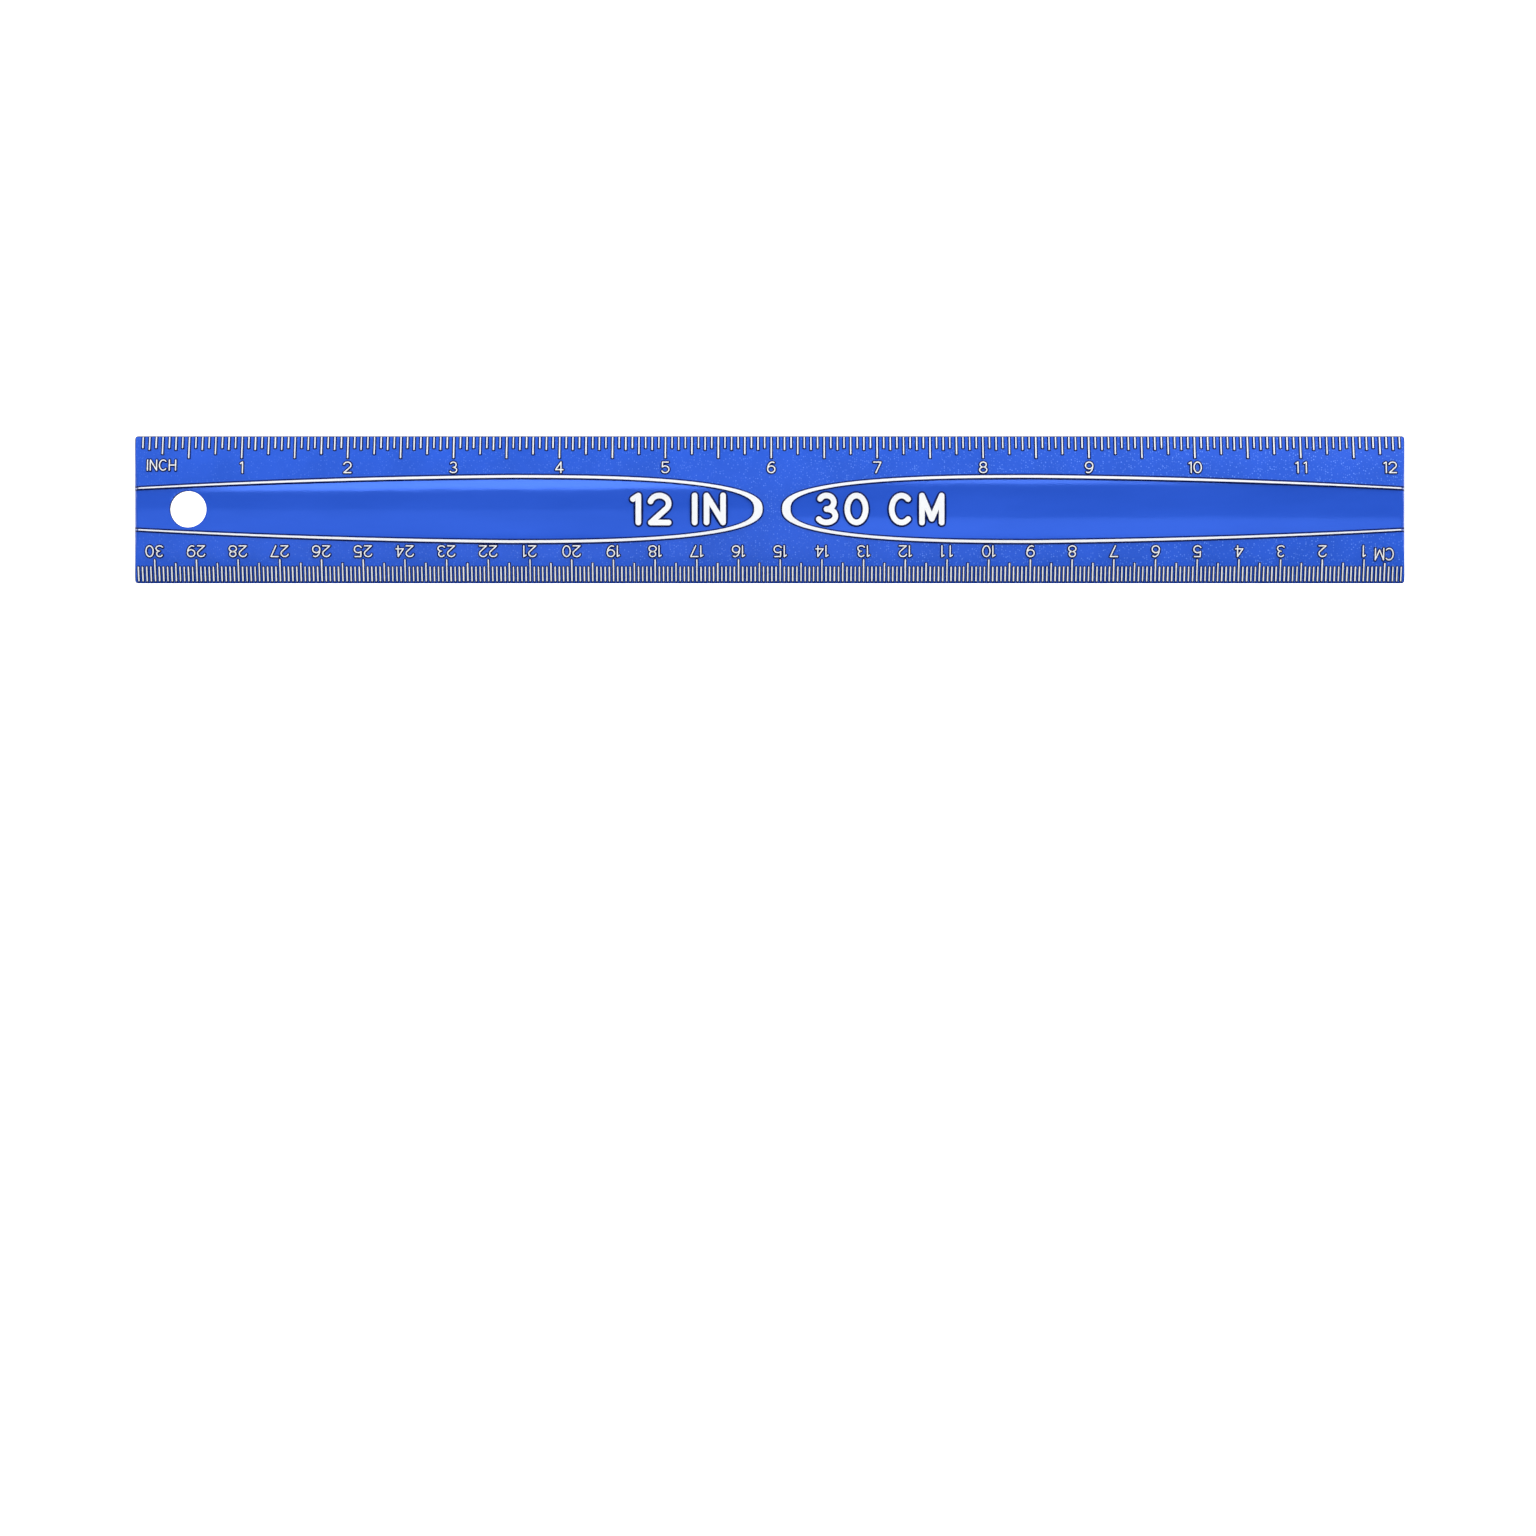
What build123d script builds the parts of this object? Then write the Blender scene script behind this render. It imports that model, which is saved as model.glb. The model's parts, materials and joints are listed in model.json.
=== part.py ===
from build123d import *
import math
import os

# Flexible ruler with an inch scale and a centimetre scale, moulded in one soft plastic.
# X runs along the ruler from the inch zero, Y across it to the inch edge, and Z up out of
# the marked face. The origin is the middle of the underside. All lengths are millimetres.
# The one moulding bends along its whole length. Here it is divided into short stretches,
# each ending in a round nose that rolls in the hollow end of the next.

os.makedirs("parts", exist_ok=True)

# The moulding as a whole
ruler_length = 305.0
ruler_width = 35.4
corner_radius = 0.65
edge_height = 0.85
end_round_reach = 1.8
end_round_radius = 2.8
cut_overrun = 2.0

# Marked face: a bevelled margin along each edge, and a crown between them
margin_width = 6.0
margin_inner_height = 2.25
crown_height = 3.0

# Underside: a flat rail along each edge, and a shallow arched hollow between them
rail_width = 6.2
hollow_flank_width = 2.8
hollow_shoulder_height = 0.95
hollow_height = 1.25

# Two scooped panels, open at the ruler's ends, with their round noses facing each other
nose_gap = 4.7
nose_gap_shift = 0.6
nose_length = 60.8
nose_fullness = 2.6
nose_turn_shares = (0, 1 / 8, 1 / 4, 3 / 8, 1 / 2, 5 / 8, 3 / 4)
panel_end_half_width = 5.1
panel_half_width = 8.15
swell_shares = (0.545, 0.715)
scoop_radius = 45.0
scoop_end_floor = 2.55
scoop_floor = 2.0
scoop_nose_floor = 2.85
scoop_station_shares = (-1, -1 / 2, 0, 1 / 2, 1)

# Raised rim around each panel
rim_height = 0.3
rim_end_width = 0.38
rim_width = 0.69
rim_nose_width = 2.0

# Hang hole
hole_diameter = 8.7
hole_inset = 13.0

# Graduations: thin ribs that stand on the margins
rib_width = 0.42
rib_height = 0.3
inch = 25.4
inch_parts = 16
inch_zero_inset = 0.45
inch_rib_inset = 0.4
inch_rib_length = 4.9
half_inch_rib_length = 4.9
quarter_inch_rib_length = 4.0
eighth_inch_rib_length = 2.9
sixteenth_inch_rib_length = 2.45
centimetre = 10.0
centimetre_parts = 10
centimetre_rib_inset = 0.5
centimetre_rib_length = 5.15
half_centimetre_rib_length = 4.3
millimetre_rib_length = 3.45

# Bends: how many, how far in the first and last lie, how many gaps between centimetre ribs
# are tried on each side of an even spacing, and the sides and fit of each round nose
bend_count = 18
end_stretch = 20.5
gaps_tried = 2
knuckle_sides = 14
knuckle_wrap = 0.05
knuckle_clearance = 0.05

# Worked out from the sizes above
half_length = ruler_length / 2
half_width = ruler_width / 2
crown_half_width = half_width - margin_width
full_height = crown_height + rim_height
hollow_half_width = half_width - rail_width
shoulder_half_width = hollow_half_width - hollow_flank_width
knuckle_height = full_height / 2
knuckle_radius = knuckle_height + knuckle_wrap
socket_radius = knuckle_radius + knuckle_clearance
socket_reach = socket_radius / math.cos(math.pi / knuckle_sides)
margin_slope = (margin_inner_height - edge_height) / margin_width
from_left = Pos(-half_length, 0, 0)
from_right = Pos(half_length, 0, 0) * Rot(0, 0, 180)


def margin_top(inset):
    """Height of the bevelled margin at a distance in from the ruler's edge."""
    return edge_height + margin_slope * inset


def section_outline():
    """The moulding's cross-section, on the YZ plane."""
    with BuildSketch(Plane.YZ) as section:
        with BuildLine():
            Polyline(
                (-crown_half_width, margin_inner_height),
                (-half_width, edge_height),
                (-half_width, 0),
                (-hollow_half_width, 0),
                (-shoulder_half_width, hollow_shoulder_height),
            )
            ThreePointArc(
                (-shoulder_half_width, hollow_shoulder_height),
                (0, hollow_height),
                (shoulder_half_width, hollow_shoulder_height),
            )
            Polyline(
                (shoulder_half_width, hollow_shoulder_height),
                (hollow_half_width, 0),
                (half_width, 0),
                (half_width, edge_height),
                (crown_half_width, margin_inner_height),
            )
            ThreePointArc(
                (crown_half_width, margin_inner_height),
                (0, crown_height),
                (-crown_half_width, margin_inner_height),
            )
        make_face()
    return section.sketch


def raised_crown():
    """A bar whose top follows the crown at the rim's height and whose foot lies in the wall."""
    foot_height = (hollow_height + margin_inner_height) / 2
    with BuildSketch(Plane.YZ) as section:
        with BuildLine():
            ThreePointArc(
                (-crown_half_width, margin_inner_height + rim_height),
                (0, crown_height + rim_height),
                (crown_half_width, margin_inner_height + rim_height),
            )
            Polyline(
                (crown_half_width, margin_inner_height + rim_height),
                (crown_half_width, foot_height),
                (-crown_half_width, foot_height),
                (-crown_half_width, margin_inner_height + rim_height),
            )
        make_face()
    return extrude(section.sketch, amount=half_length, both=True)


def nose_point(reach, side_y, turn_share):
    """A point of the nose's outline, which is a little fuller than half an ellipse."""
    turn = turn_share * math.pi / 2
    along = reach * math.sin(turn) ** (2 / nose_fullness)
    return along, side_y * math.cos(turn) ** (2 / nose_fullness)


def panel_prism(panel_length, inset_end, inset_side, inset_nose):
    """A tall block with a panel's plan, from the ruler's end at X zero to the nose.

    One long arc swells from the end to the widest place, three more draw in along the nose
    and a last one rounds it. The three insets draw the outline in from the rim's outer edge
    at the end, at the widest place and at the tip of the nose.
    """
    end_y = panel_end_half_width - inset_end
    side_y = panel_half_width - inset_side
    widest_x = panel_length - nose_length
    reach = nose_length - inset_nose
    swell_along, swell_across = swell_shares
    swell = (swell_along * widest_x, end_y + swell_across * (side_y - end_y))
    side_points = []
    for share in nose_turn_shares:
        along, across = nose_point(reach, side_y, share)
        side_points.append((widest_x + along, across))
    cap_x, cap_y = side_points[-1]
    with BuildSketch() as plan:
        with BuildLine():
            for side in (1, -1):
                mirrored = [(x, side * y) for x, y in side_points]
                Polyline((-cut_overrun, 0), (-cut_overrun, side * end_y), (0, side * end_y))
                ThreePointArc((0, side * end_y), (swell[0], side * swell[1]), mirrored[0])
                ThreePointArc(*mirrored[0:3])
                ThreePointArc(*mirrored[2:5])
                ThreePointArc(*mirrored[4:7])
            ThreePointArc((cap_x, cap_y), (widest_x + reach, 0), (cap_x, -cap_y))
        make_face()
    return extrude(plan.sketch, amount=full_height + cut_overrun)


def dish_floor(from_widest, panel_length):
    """Height of a dish's lowest line at a distance from its widest place, minus to the end."""
    if from_widest < 0:
        reach, rise = panel_length - nose_length, scoop_end_floor - scoop_floor
    else:
        reach, rise = nose_length, scoop_nose_floor - scoop_floor
    return scoop_floor + rise * (from_widest / reach) ** 2


def scoop(panel_length):
    """The space over a panel's dished floor, from the ruler's end at X zero to the nose.

    Across the ruler the floor is an arc. Along it the floor is lowest at the widest place,
    and rises to the ruler's end and to the nose in straight runs, each a little steeper than
    the one before. So the space is what lies over all of the runs.
    """
    widest_x = panel_length - nose_length
    across = crown_half_width
    arc_rise = scoop_radius - math.sqrt(scoop_radius**2 - across**2)
    floor_line = []
    for share in scoop_station_shares:
        from_widest = share * (nose_length if share > 0 else widest_x)
        floor_line.append(Vector(widest_x + from_widest, 0, dish_floor(from_widest, panel_length)))
    space = None
    for start, end in zip(floor_line, floor_line[1:]):
        square_to_run = Plane(origin=start, x_dir=(0, 1, 0), z_dir=end - start)
        with BuildSketch(square_to_run) as section:
            with BuildLine():
                ThreePointArc((-across, arc_rise), (0, 0), (across, arc_rise))
                Polyline(
                    (across, arc_rise),
                    (across, scoop_radius),
                    (-across, scoop_radius),
                    (-across, arc_rise),
                )
            make_face()
        over_run = extrude(section.sketch, amount=panel_length + cut_overrun, both=True)
        space = space & over_run if space else over_run
    return space


def end_rounding():
    """What the rounded left end takes off, from the parting line up to the crest."""
    with BuildSketch(Plane.XZ) as corner:
        with BuildLine():
            RadiusArc((0, edge_height), (end_round_reach, full_height), -end_round_radius)
            Polyline(
                (end_round_reach, full_height),
                (end_round_reach, full_height + cut_overrun),
                (-cut_overrun, full_height + cut_overrun),
                (-cut_overrun, edge_height),
                (0, edge_height),
            )
        make_face()
    return from_left * extrude(corner.sketch, amount=ruler_width, both=True)


def blade_stock():
    """The plain rounded bar, and for each panel its hollow, its rim and how far it reaches.

    A panel's reach is the X of its two ends.
    """
    plan = extrude(RectangleRounded(ruler_length, ruler_width, corner_radius), amount=full_height)
    bar = extrude(section_outline(), amount=half_length, both=True) & plan
    rim_stock = raised_crown()
    for end in (end_rounding(), mirror(end_rounding(), about=Plane.YZ)):
        bar = bar - end
        rim_stock = rim_stock - end
    left_panel = half_length + nose_gap_shift - nose_gap / 2
    right_panel = half_length - nose_gap_shift - nose_gap / 2
    panels = []
    for place, length, side in ((from_left, left_panel, -1), (from_right, right_panel, 1)):
        outer = place * panel_prism(length, 0, 0, 0)
        inner = place * panel_prism(length, rim_end_width, rim_width, rim_nose_width)
        reach = sorted((side * half_length, side * (half_length - length)))
        panels.append((place * scoop(length) & inner, rim_stock & (outer - inner), reach))
    return bar, panels


def blade_stretch(bar, panels, block, left, right):
    """One stretch of the blade: its part of the bar, hollowed and rimmed by each panel."""
    stretch = bar & block
    for hollow, rim, (panel_left, panel_right) in panels:
        if panel_left < right + socket_reach and panel_right > left - socket_reach:
            stretch = stretch - (hollow & block)
            stretch = stretch + (rim & block)
    return stretch


def rib_master(inset, length):
    """One graduation rib on the inch margin, with its middle at X zero."""
    outer_y = half_width - inset
    inner_y = outer_y - length
    outer_z = margin_top(inset)
    inner_z = margin_top(inset + length)
    with BuildSketch(Plane.YZ) as side:
        with BuildLine():
            Polyline(
                (outer_y, outer_z),
                (inner_y, inner_z),
                (inner_y, inner_z + rib_height),
                (outer_y, outer_z + rib_height),
                close=True,
            )
        make_face()
    return extrude(side.sketch, amount=rib_width / 2, both=True)


def graduations(spacing, lengths, inset, zero_inset):
    """Each rib of one scale as its distance from the scale's zero end, and its solid.

    The lengths are keyed by how many of the smallest parts lie between ribs of that length.
    """
    masters = {parts: rib_master(inset, length) for parts, length in lengths.items()}
    ribs = []
    step = 1
    while zero_inset + step * spacing < ruler_length - rib_width:
        parts = max(part for part in lengths if step % part == 0)
        ribs.append((zero_inset + step * spacing, masters[parts]))
        step += 1
    return ribs


def bend_places(inch_step, centimetre_step):
    """X of each bend, moved a little so that its seam passes between graduations.

    A seam shows a little to the right of its bend, where the round nose comes up through
    the margins. That offset is given too.
    """
    rib_top = margin_top(centimetre_rib_inset + centimetre_rib_length) + rib_height
    steepest = max(knuckle_height - edge_height, rib_top - knuckle_height)
    flat_radius = knuckle_radius * math.cos(math.pi / knuckle_sides)
    nose_reach = math.sqrt(flat_radius**2 - steepest**2)
    seam_offset = (nose_reach + socket_reach) / 2
    seam_room = (rib_width + socket_reach - nose_reach) / 2 + knuckle_clearance
    pitch = (ruler_length - 2 * end_stretch) / (bend_count - 1)
    places = []
    for bend in range(bend_count):
        wanted = end_stretch + bend * pitch + seam_offset
        nearest = round((ruler_length - wanted) / centimetre_step)
        tried = range(nearest - gaps_tried, nearest + gaps_tried)
        gaps = [ruler_length - (rib + 1 / 2) * centimetre_step for rib in tried]
        clear = [seam for seam in gaps if inch_rib_distance(seam, inch_step) > seam_room]
        seam = min(clear, key=lambda place: abs(place - wanted))
        places.append(seam - seam_offset - half_length)
    return places, seam_offset


def inch_rib_distance(seam, inch_step):
    """How far a seam, as a distance from the left end, lies from the nearest inch rib."""
    past = (seam - inch_zero_inset) % inch_step
    return min(past, inch_step - past)


def stretch_block(left, right, hollow_end, round_end):
    """The space that one stretch takes up, with the bend at its left hollow, at its right round.

    The round nose is a polygon inside its circle, and the hollow is one outside a wider
    circle, so the two clear each other at any angle.
    """
    height = 2 * (full_height + cut_overrun)
    with BuildSketch(Plane.XZ) as side:
        with Locations(((left + right) / 2, knuckle_height)):
            Rectangle(right - left, height)
        if round_end:
            with Locations((right, knuckle_height)):
                RegularPolygon(knuckle_radius, knuckle_sides)
        if hollow_end:
            with Locations((left, knuckle_height)):
                RegularPolygon(socket_reach, knuckle_sides, mode=Mode.SUBTRACT)
    return extrude(side.sketch, amount=ruler_width, both=True)


def ribs_between(ribs, place, low, high):
    """The ribs of one scale whose distance from its zero end lies in a stretch."""
    inside = [(distance, rib) for distance, rib in ribs if low < distance <= high]
    return Compound([(place * Pos(distance, 0, 0) * rib).solid() for distance, rib in inside])


def main():
    inch_step = inch / inch_parts
    centimetre_step = centimetre / centimetre_parts
    bends, seam_offset = bend_places(inch_step, centimetre_step)
    bar, panels = blade_stock()
    hole_cutter = Cylinder(hole_diameter / 2, 2 * (full_height + cut_overrun))
    inch_lengths = {
        inch_parts: inch_rib_length,
        inch_parts // 2: half_inch_rib_length,
        inch_parts // 4: quarter_inch_rib_length,
        inch_parts // 8: eighth_inch_rib_length,
        1: sixteenth_inch_rib_length,
    }
    centimetre_lengths = {
        centimetre_parts: centimetre_rib_length,
        centimetre_parts // 2: half_centimetre_rib_length,
        1: millimetre_rib_length,
    }
    inch_ribs = graduations(inch_step, inch_lengths, inch_rib_inset, inch_zero_inset)
    centimetre_ribs = graduations(centimetre_step, centimetre_lengths, centimetre_rib_inset, 0)
    lefts = [-half_length - cut_overrun] + bends
    rights = bends + [half_length + cut_overrun]
    for number, (left, right) in enumerate(zip(lefts, rights), start=1):
        first, last = number == 1, number == len(lefts)
        block = stretch_block(left, right, not first, not last)
        stretch = blade_stretch(bar, panels, block, left, right)
        if first:
            stretch = stretch - from_left * Pos(hole_inset, 0, 0) * hole_cutter
        low = half_length + left + seam_offset
        high = ruler_length if last else half_length + right + seam_offset
        from_zero = (ruler_length - high, ruler_length - low)
        pieces = {
            "blade": stretch.solid(),
            "inch_graduations": ribs_between(inch_ribs, from_left, low, high),
            "centimetre_graduations": ribs_between(centimetre_ribs, from_right, *from_zero),
        }
        for name, piece in pieces.items():
            export_step(piece, f"parts/{name}_{number:02d}.step")
    print("seam offset", round(seam_offset, 4), "bends at", [round(bend, 4) for bend in bends])


main()
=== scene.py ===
import json
import math
import random

import bmesh
import bpy
from mathutils import Matrix, Vector
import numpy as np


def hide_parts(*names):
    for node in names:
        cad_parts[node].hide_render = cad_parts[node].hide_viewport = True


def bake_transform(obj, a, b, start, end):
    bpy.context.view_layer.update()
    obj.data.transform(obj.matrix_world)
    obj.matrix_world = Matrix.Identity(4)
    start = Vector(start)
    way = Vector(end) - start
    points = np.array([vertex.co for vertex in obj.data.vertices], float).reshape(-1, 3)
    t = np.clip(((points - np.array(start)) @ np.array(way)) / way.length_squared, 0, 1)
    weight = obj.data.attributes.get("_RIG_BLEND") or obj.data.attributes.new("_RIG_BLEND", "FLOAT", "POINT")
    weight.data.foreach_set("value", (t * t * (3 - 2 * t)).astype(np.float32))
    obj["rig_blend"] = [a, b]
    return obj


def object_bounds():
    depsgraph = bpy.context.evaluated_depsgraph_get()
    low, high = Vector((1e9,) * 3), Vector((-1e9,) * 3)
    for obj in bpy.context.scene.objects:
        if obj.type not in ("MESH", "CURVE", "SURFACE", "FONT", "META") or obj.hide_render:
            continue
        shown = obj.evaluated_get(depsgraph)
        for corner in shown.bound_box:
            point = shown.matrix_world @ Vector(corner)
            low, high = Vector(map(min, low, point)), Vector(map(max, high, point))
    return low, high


# Flexible ruler: one soft blue moulding with a white foil on its raised marks and rims.
# X runs along the ruler, Y across it to the inch edge, Z up out of the marked face.
# Shapes are made in millimetres, and each finished mesh is brought to metres at the end.

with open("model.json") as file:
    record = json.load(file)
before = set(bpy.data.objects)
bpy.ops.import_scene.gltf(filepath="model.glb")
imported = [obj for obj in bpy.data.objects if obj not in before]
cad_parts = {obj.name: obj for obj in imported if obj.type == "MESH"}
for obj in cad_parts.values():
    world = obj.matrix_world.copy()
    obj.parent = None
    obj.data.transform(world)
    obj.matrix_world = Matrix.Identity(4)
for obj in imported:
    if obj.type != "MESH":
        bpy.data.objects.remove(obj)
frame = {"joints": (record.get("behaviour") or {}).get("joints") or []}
cad_low, cad_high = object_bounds()

metres = 0.001
half_length = cad_high.x / metres
half_width = cad_high.y / metres
full_height = cad_high.z / metres
bends = sorted(joint["pos_m"][0] / metres for joint in frame["joints"])

# Section of the moulding
margin_width = 6.0
margin_inner_height = 2.25
edge_height = 0.85
crown_height = 3.0
rail_width = 6.2
hollow_flank_width = 2.8
hollow_shoulder_height = 0.95
hollow_height = 1.25
thinnest_end = 0.4
edge_fillet = 0.2
corner_radius = 0.65
end_round_reach = 1.8
end_round_radius = 2.8
end_round_blend = 0.12
# Width of the strip of painted shade, a dark line, along the top of each end
end_line_width = 0.3

# Scooped panels and the rims around them
nose_gap = 4.7
nose_gap_shift = 0.6
nose_length = 60.8
nose_fullness = 2.6
panel_end_half_width = 5.1
panel_half_width = 8.15
swell_shares = (0.545, 0.715)
scoop_radius = 45.0
scoop_end_floor = 2.55
scoop_floor = 2.0
scoop_nose_floor = 2.85
rim_end_width = 0.38
rim_width = 0.69
rim_nose_width = 2.0
rim_foil_inset = 0.4
rim_foil_margin = 0.04
wall_run = 0.36

# Hang hole
hole_radius = 4.35
hole_inset = 13.0
hole_sides = 96
hole_lip = 0.16
hole_lip_steps = 3
hole_cut_depth = 3 * full_height
# An edge of the hole lies this near to its radius, and turns by more than this in radians
hole_edge_room = 0.01
hole_edge_turn = 1.0
# Faces near its radius are its wall if their normals rise by less than this
hole_wall_lean = 0.5

# Raised marks: height, the blue foot that spreads under each, and the foil on top
mark_height = 0.3
mark_foot_run = 0.36
mark_edge_room = 0.06
mark_sink = 0.06
foil_thickness = 0.035
foil_step = 0.004
rib_width = 0.31
rib_end_share = 0.45
rib_sides = 12
rib_unevenness = 0.035
random_seed = 7

# Scales: length of a rib by the number of parts, sixteenths or millimetres, that it closes
inch = 25.4
inch_zero_inset = 0.45
inch_rib_inset = 0.25
inch_ribs = {16: 5.2, 8: 5.2, 4: 4.25, 2: 3.2, 1: 2.75}
millimetre = 1.0
centimetre = 10.0
centimetre_rib_inset = 0.5
centimetre_foot_run = 0.3
centimetre_ribs = {10: 5.15, 5: 4.3, 1: 3.45}

# Numerals and words: cap height, stroke, gaps, and the middle of each line
numeral_height = 3.0
numeral_stroke = 0.28
numeral_gap = 0.4
paired_ones_gap = 1.2
inch_numeral_y = 10.0
centimetre_numeral_y = -10.1
last_inch_numeral_x = 148.7
inch_word_height = 2.9
inch_word_x = -145.8
inch_word_y = 10.55
centimetre_word_height = 3.2
centimetre_word_gap = 0.15
centimetre_word_x = 147.3
centimetre_word_y = -10.8
size_height = 7.6
size_stroke = 1.35
size_foot_run = 0.5
size_gap = 1.5
size_space = 3.4
size_rise = 0.1
left_size_x = -22.0
right_size_x = 26.4

# Mesh fineness: distances between stations along the ruler, more of them round the tips of the
# rims, by shares of a rim's half width there, and near the ruler's ends, by distances from them
station_gap = 0.9
nearest_station = 0.12
tip_shares = (0, 0.04, 0.08, 0.13, 0.2, 0.28, 0.37, 0.46, 0.56, 0.66, 0.76, 0.86, 0.94)
end_distances = (0, 0.04, 0.12, 0.24, 0.38, 0.52, 0.65, 0.8, 1.0, 1.2, 1.4, 1.6, 1.8, 2.1, 2.5)
merge_distance = 0.0002
sharp_angle = math.radians(32)
# Steps across each strip of the section, turns along an arc in degrees, and sides of round ends
dish_steps = 12
rim_steps = 3
crown_steps = 8
margin_steps = 5
hollow_steps = 8
fillet_turns = (0, 30, 60, 90)
arc_step = 12.0
disc_sides = 20

# Colours of the vinyl, the foil and the floor
margin_blue = (0.0115, 0.097, 0.66)
margin_blue_light = (0.0158, 0.11, 0.74)
# Pale blue of the painted glints on the margins
glint_speck_blue = (0.13, 0.31, 0.98)
dish_blue = (0.0245, 0.0985, 0.625)
dish_blue_light = (0.029, 0.11, 0.68)
dish_gloss_tint = (0.13, 0.28, 1)
# Painted shade: the deep blue of steep sides and dark edge lines
painted_shade_blue = (0.0008, 0.006, 0.07)
painted_shade_blue_light = (0.0015, 0.014, 0.14)
foil_white = (0.95, 0.965, 0.98)
foil_worn = (0.72, 0.8, 0.95)
paper_white = (0.86, 0.86, 0.86)
paper_white_light = (0.88, 0.88, 0.88)
full_white = (1, 1, 1)
sky_white = (0.95, 0.97, 1)

# Patterns of the finishes, in waves or cells per metre
mottle_waves = 90
speck_cells = 2100
flow_waves = 130
flow_stretch = (0.25, 1, 1)
wear_waves = 1500
soft_harshness = 0.5
wear_harshness = 0.7
margin_grain_waves = 3200
dish_grain_waves = 2200
side_grain_waves = 1800
film_waves = 900
fibre_waves = 40
fine_detail = 2
cloud_detail = 3

# The part of a pattern's values that a finish runs over, and the share that it becomes
rising = (0, 1)
falling = (1, 0)
grain_span = (0.3, 0.7)
cloud_span = (0.35, 0.65)
side_span = (0.4, 0.7)
wear_span = (0.62, 0.72)
speck_reach = (0.2, 0.42)
speck_choice = (0.4, 1)
# The pale specks are painted glints, and they grow stronger along the ruler, from one place X in metres to
# another
glint_fade_x = (-0.12, 0.13)
glint_fade = (0.3, 1.0)

# Roughness from the low to the high places of a grain, gloss, and relief in metres
margin_roughness = (0.5, 0.4)
dish_roughness = (0.08, 0.11)
side_roughness = (0.45, 0.6)
foil_roughness = (0.32, 0.45)
paper_roughness = 0.9
margin_gloss = 0.3
dish_gloss = 0.6
side_gloss = 0.15
foil_gloss = 0.5
margin_relief = 0.00002
dish_relief = 0.000003
flow_relief = 0.00003
side_relief = 0.000008
film_relief = 0.00001

# Studio: distances in metres, powers in watts, turns in degrees
pixels_across = 1536
pixels_per_metre = 4162
middle_pixel = (769.8, 509.7)
camera_height = 0.75
sensor_width = 36.0
floor_size = 40.0
floor_depth = 0.12
sky_strength = 0.18
# Lamps that face the ruler: name, place, size and power
window_lamps = (
    ("window_left", (-1.1, 1.3, 0.9), (1.4, 1.0), 16.5),
    ("window_right", (1.2, 1.2, 1.0), (1.4, 1.0), 26.5),
    ("front_fill", (0, -1.6, 0.9), (2.0, 0.8), 8),
)
# Lamps that shine straight down and are mirrored in the dishes: name, place, size, power and turn
overhead_height = 1.2
overhead_lamps = (
    ("wide_lamp_left", (-0.22, 0.275), (0.42, 0.34), 0.65, 0),
    ("wide_lamp_right", (0.22, 0.335), (0.42, 0.26), 0.88, 0),
    ("long_lamp_left", (-0.205, -0.204), (0.26, 0.13), 1.5, -9),
    ("long_lamp_right", (0.19, -0.255), (0.24, 0.08), 0.65, 0),
)

crown_half_width = half_width - margin_width
crown_rise = crown_height - margin_inner_height
crown_radius = (crown_half_width**2 / crown_rise + crown_rise) / 2
hollow_half_width = half_width - rail_width
shoulder_half_width = hollow_half_width - hollow_flank_width
arch_rise = hollow_height - hollow_shoulder_height
hollow_radius = (shoulder_half_width**2 / arch_rise + arch_rise) / 2
margin_slope = (margin_inner_height - edge_height) / margin_width
left_panel = half_length + nose_gap_shift - nose_gap / 2
right_panel = half_length - nose_gap_shift - nose_gap / 2
noses_middle = (left_panel - right_panel) / 2
hole_x = hole_inset - half_length
rng = random.Random(random_seed)

# Pieces run from the middle of one stretch to the middle of the next
planes = [-half_length]
planes += [(left + right) / 2 for left, right in zip(bends, bends[1:])]
planes += [half_length]
piece_count = len(bends)
mark_shapes = [bmesh.new() for _ in range(piece_count)]
foil_shapes = [bmesh.new() for _ in range(piece_count)]


def drop(radius, across):
    """How far an arc of that radius falls away at a distance from its crest."""
    return radius - math.sqrt(radius**2 - across**2)


def arc_height(x, first, middle, last):
    """Height at x of the flat arc that runs through three points."""
    (x1, y1), (x2, y2), (x3, y3) = first, middle, last
    area = 2 * (x1 * (y2 - y3) + x2 * (y3 - y1) + x3 * (y1 - y2))
    far1, far2, far3 = x1**2 + y1**2, x2**2 + y2**2, x3**2 + y3**2
    centre_x = (far1 * (y2 - y3) + far2 * (y3 - y1) + far3 * (y1 - y2)) / area
    centre_y = (far1 * (x3 - x2) + far2 * (x1 - x3) + far3 * (x2 - x1)) / area
    radius = math.hypot(x1 - centre_x, y1 - centre_y)
    return centre_y + math.copysign(math.sqrt(radius**2 - (x - centre_x) ** 2), y1 - centre_y)


def spread(first, last, count):
    """Even steps from one value to another, without the first."""
    return [first + (last - first) * step / count for step in range(1, count + 1)]


def crown_z(y):
    """Height of the marked face, without rims and scoops."""
    across = abs(y)
    if across > crown_half_width:
        return edge_height + margin_slope * (half_width - across)
    return crown_height - drop(crown_radius, across)


def crown_at(x, y):
    """The marked face as a surface that marks can be laid on: it is the same at every place X."""
    return crown_z(y)


def rim_z(y):
    """Height of the top of a rim, with its foil."""
    return crown_z(y) + mark_height


def panel_at(x):
    """How far a place lies from the open end of its panel, and the panel's length."""
    if x < noses_middle:
        return x + half_length, left_panel
    return half_length - x, right_panel


def floor_z(x, y):
    """Height of a panel's dished floor."""
    along, length = panel_at(x)
    from_widest = along - (length - nose_length)
    if from_widest < 0:
        reach, rise = length - nose_length, scoop_end_floor - scoop_floor
    else:
        reach, rise = nose_length, scoop_nose_floor - scoop_floor
    return scoop_floor + rise * (from_widest / reach) ** 2 + drop(scoop_radius, abs(y))


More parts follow.
